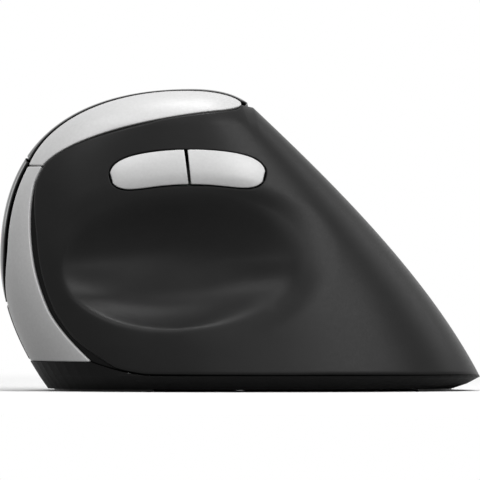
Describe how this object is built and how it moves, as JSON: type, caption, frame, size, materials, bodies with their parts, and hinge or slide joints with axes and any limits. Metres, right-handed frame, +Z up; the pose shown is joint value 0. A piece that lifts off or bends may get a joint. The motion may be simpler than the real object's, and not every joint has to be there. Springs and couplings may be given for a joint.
{
  "type": "vertical ergonomic mouse",
  "caption": "Right-hand vertical ergonomic computer mouse: upright leaning shell with a thumb scoop, silver ridge trim, thumb buttons, click plates and scroll wheel, on a flat base.",
  "frame": {"origin": "middle of the box at the bottom of the feet", "axes": "+X from the front of the mouse to its tail, +Y toward the finger side, +Z up"},
  "size_m": [0.1199, 0.073, 0.0754],
  "materials": {
    "black_shell": "satin",
    "gloss_black": "gloss",
    "bezel": "satin",
    "silver": "satin silver paint",
    "base_black": "fine texture",
    "glide": "slick",
    "rubber": "ribbed",
    "inner_black": "moulded",
    "steel": "plated",
    "switch": "moulded",
    "plunger": "moulded",
    "board": "solder mask",
    "clear": "clear",
    "ribbon": "film",
    "cell": "wrapped"
  },
  "bodies": {
    "case": {"thumb_shell": "black_shell", "top_trim": "silver", "front_trim": "silver", "wheel_bezel": "bezel", "palm_shell": "black_shell", "thumb_pins": "steel", "forward_switch": "switch", "back_switch": "switch", "thumb_board": "board", "thumb_bracket": "inner_black", "axle_posts": "inner_black", "wheel_emitter": "clear", "wheel_detector": "switch", "wheel_switch": "switch", "speed_switch": "switch", "left_switch": "switch", "right_switch": "switch", "click_pin": "steel", "finger_board": "board", "inner_frame": "inner_black", "main_board": "board", "sensor_chip": "switch", "sensor_lens": "clear", "controller_chip": "switch", "board_screws": "steel", "frame_screws": "steel", "finger_ribbon": "ribbon", "thumb_ribbon": "ribbon", "base_tray": "base_black", "front_foot": "glide", "rear_foot": "glide", "front_battery": "cell", "rear_battery": "cell", "battery_springs": "steel", "battery_plates": "steel", "power_body": "steel"},
    "left_click": {"left_plate": "gloss_black", "left_arm": "inner_black"},
    "left_press": {"left_plunger": "plunger"},
    "right_click": {"right_plate": "gloss_black", "right_arm": "inner_black"},
    "right_press": {"right_plunger": "plunger"},
    "carriage": {"wheel_carriage": "inner_black", "wheel_plunger": "plunger"},
    "wheel": {"wheel_hub": "inner_black", "wheel_tyre": "rubber", "wheel_axle": "steel"},
    "speed": {"speed_button": "bezel", "speed_plunger": "plunger"},
    "forward": {"forward_button": "silver", "forward_lever": "inner_black", "forward_plunger": "plunger"},
    "back": {"back_button": "silver", "back_lever": "inner_black", "back_plunger": "plunger"},
    "door": {"battery_door": "base_black"},
    "receiver": {"receiver_body": "base_black", "receiver_plug": "steel"},
    "power": {"power_knob": "plunger"}
  },
  "joints": [
    {"name": "left_click_turn", "type": "hinge", "parent": "case", "child": "left_click", "pos_m": [0.00482, -0.00068, 0.05927], "axis": [0.0593, -0.4216, 0.9048], "range_deg": [0, 1], "stiffness_Nm_per_rad": 1, "springref_deg": -1.15},
    {"name": "left_plunger_slide", "type": "slide", "parent": "case", "child": "left_press", "axis": [0.1259, -0.896, -0.4258], "range_m": [0, 0.0007]},
    {"name": "right_click_turn", "type": "hinge", "parent": "case", "child": "right_click", "pos_m": [0.0033, 0.01012, 0.0361], "axis": [0.0593, -0.4216, 0.9048], "range_deg": [0, 1], "stiffness_Nm_per_rad": 1, "springref_deg": -1.15},
    {"name": "right_plunger_slide", "type": "slide", "parent": "case", "child": "right_press", "axis": [0.1259, -0.896, -0.4258], "range_m": [0, 0.0007]},
    {"name": "wheel_press", "type": "slide", "parent": "case", "child": "carriage", "axis": [0.1259, -0.896, -0.4258], "range_m": [0, 0.0004], "stiffness_N_per_m": 3000, "springref_m": -0.0002},
    {"name": "wheel_spin", "type": "hinge", "parent": "carriage", "child": "wheel", "pos_m": [-0.02899, 0.00278, 0.05138], "axis": [-0.0593, 0.4216, -0.9048], "continuous": true},
    {"name": "speed_press", "type": "slide", "parent": "case", "child": "speed", "axis": [0.1259, -0.896, -0.4258], "range_m": [0, 0.0004], "stiffness_N_per_m": 3000, "springref_m": -0.0002},
    {"name": "forward_turn", "type": "hinge", "parent": "case", "child": "forward", "pos_m": [-0.035, -0.01192, 0.05343], "axis": [0, 0.3206, 0.9472], "range_deg": [0, 2], "stiffness_Nm_per_rad": 0.3, "springref_deg": -1.72},
    {"name": "back_turn", "type": "hinge", "parent": "case", "child": "back", "pos_m": [0.0065, -0.01192, 0.05343], "axis": [0, -0.3206, -0.9472], "range_deg": [0, 2], "stiffness_Nm_per_rad": 0.3, "springref_deg": -1.72},
    {"name": "door_turn", "type": "hinge", "parent": "case", "child": "door", "pos_m": [-0.0093, -0.0015, 0.0013], "axis": [0, 1, 0], "range_deg": [0, 75]},
    {"name": "receiver_out", "type": "slide", "parent": "case", "child": "receiver", "axis": [0, 0, -1], "range_m": [0, 0.018]},
    {"name": "power_slide", "type": "slide", "parent": "case", "child": "power", "axis": [1, 0, 0], "range_m": [0, 0.0024]}
  ],
  "couplings": [
    {"joint": "left_plunger_slide", "follows": "left_click_turn", "m_per_rad": 0.038},
    {"joint": "right_plunger_slide", "follows": "right_click_turn", "m_per_rad": 0.038}
  ]
}
